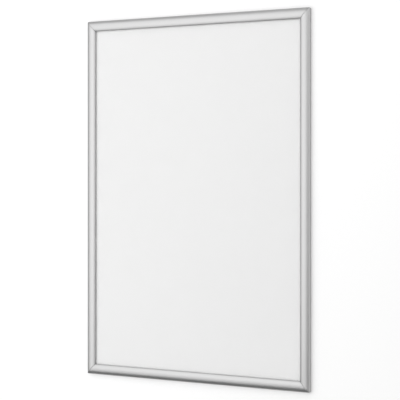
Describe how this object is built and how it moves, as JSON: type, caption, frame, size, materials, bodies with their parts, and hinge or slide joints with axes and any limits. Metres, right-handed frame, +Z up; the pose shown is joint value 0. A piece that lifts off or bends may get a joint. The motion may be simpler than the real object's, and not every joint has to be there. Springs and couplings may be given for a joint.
{
  "type": "outdoor snap frame",
  "caption": "Wall-hung poster frame with mitred base rails and domed snap rails that flip open on over-centre springs to change the poster under a clear cover.",
  "frame": {"origin": "middle of the frame on the wall plane, which is the back of the base rails", "axes": "+Z up along the tall side, +X to the right seen from the front, +Y into the wall, so the front faces -Y"},
  "size_m": [0.744, 0.0155, 1.044],
  "materials": {
    "base_aluminium": "plain mill finish extrusion",
    "anodised_aluminium": "satin silver anodised",
    "gasket_rubber": "matt grey",
    "spring_steel": "bright strip",
    "zinc_steel": "zinc plated",
    "back_board": "matt white board",
    "poster_paper": "blank white waterproof paper",
    "clear_cover": "clear, anti-glare"
  },
  "bodies": {
    "frame": {"base_rail_bottom": "base_aluminium", "base_rail_right": "base_aluminium", "base_rail_top": "base_aluminium", "base_rail_left": "base_aluminium", "corner_bracket_bottom_left": "zinc_steel", "corner_bracket_bottom_right": "zinc_steel", "corner_bracket_top_right": "zinc_steel", "corner_bracket_top_left": "zinc_steel", "bracket_screw_bottom_left_1": "zinc_steel", "bracket_screw_bottom_left_2": "zinc_steel", "bracket_screw_bottom_right_1": "zinc_steel", "bracket_screw_bottom_right_2": "zinc_steel", "bracket_screw_top_right_1": "zinc_steel", "bracket_screw_top_right_2": "zinc_steel", "bracket_screw_top_left_1": "zinc_steel", "bracket_screw_top_left_2": "zinc_steel", "back_panel": "back_board", "poster_sheet": "poster_paper", "cover_sheet": "clear_cover"},
    "snap_rail_bottom": {"snap_rail_bottom": "anodised_aluminium", "lip_gasket_bottom": "gasket_rubber"},
    "snap_springs_bottom": {"snap_spring_bottom_1": "spring_steel", "snap_spring_bottom_2": "spring_steel"},
    "snap_rail_right": {"snap_rail_right": "anodised_aluminium", "lip_gasket_right": "gasket_rubber"},
    "snap_springs_right": {"snap_spring_right_1": "spring_steel", "snap_spring_right_2": "spring_steel", "snap_spring_right_3": "spring_steel"},
    "snap_rail_top": {"snap_rail_top": "anodised_aluminium", "lip_gasket_top": "gasket_rubber"},
    "snap_springs_top": {"snap_spring_top_1": "spring_steel", "snap_spring_top_2": "spring_steel"},
    "snap_rail_left": {"snap_rail_left": "anodised_aluminium", "lip_gasket_left": "gasket_rubber"},
    "snap_springs_left": {"snap_spring_left_1": "spring_steel", "snap_spring_left_2": "spring_steel", "snap_spring_left_3": "spring_steel"}
  },
  "joints": [
    {"name": "snap_rail_bottom_flip", "type": "hinge", "parent": "frame", "child": "snap_rail_bottom", "pos_m": [0, -0.00501, -0.5195], "axis": [1, 0, 0], "range_deg": [0, 100], "deforming": ["snap_spring_bottom_1", "snap_spring_bottom_2"]},
    {"name": "snap_springs_bottom_toggle", "type": "hinge", "parent": "frame", "child": "snap_springs_bottom", "pos_m": [0, -0.00701, -0.5101], "axis": [1, 0, 0], "range_deg": [-44, 0]},
    {"name": "snap_rail_right_flip", "type": "hinge", "parent": "frame", "child": "snap_rail_right", "pos_m": [0.3695, -0.00501, 0], "axis": [0, 0, 1], "range_deg": [0, 100], "deforming": ["snap_spring_right_1", "snap_spring_right_2", "snap_spring_right_3"]},
    {"name": "snap_springs_right_toggle", "type": "hinge", "parent": "frame", "child": "snap_springs_right", "pos_m": [0.3601, -0.00701, 0], "axis": [0, 0, 1], "range_deg": [-44, 0]},
    {"name": "snap_rail_top_flip", "type": "hinge", "parent": "frame", "child": "snap_rail_top", "pos_m": [0, -0.00501, 0.5195], "axis": [-1, 0, 0], "range_deg": [0, 100], "deforming": ["snap_spring_top_1", "snap_spring_top_2"]},
    {"name": "snap_springs_top_toggle", "type": "hinge", "parent": "frame", "child": "snap_springs_top", "pos_m": [0, -0.00701, 0.5101], "axis": [-1, 0, 0], "range_deg": [-44, 0]},
    {"name": "snap_rail_left_flip", "type": "hinge", "parent": "frame", "child": "snap_rail_left", "pos_m": [-0.3695, -0.00501, 0], "axis": [0, 0, -1], "range_deg": [0, 100], "deforming": ["snap_spring_left_1", "snap_spring_left_2", "snap_spring_left_3"]},
    {"name": "snap_springs_left_toggle", "type": "hinge", "parent": "frame", "child": "snap_springs_left", "pos_m": [-0.3601, -0.00701, 0], "axis": [0, 0, -1], "range_deg": [-44, 0]}
  ],
  "couplings": [
    {"joint": "snap_springs_bottom_toggle", "follows": "snap_rail_bottom_flip", "ratio": -0.43502},
    {"joint": "snap_springs_right_toggle", "follows": "snap_rail_right_flip", "ratio": -0.43502},
    {"joint": "snap_springs_top_toggle", "follows": "snap_rail_top_flip", "ratio": -0.43502},
    {"joint": "snap_springs_left_toggle", "follows": "snap_rail_left_flip", "ratio": -0.43502}
  ]
}
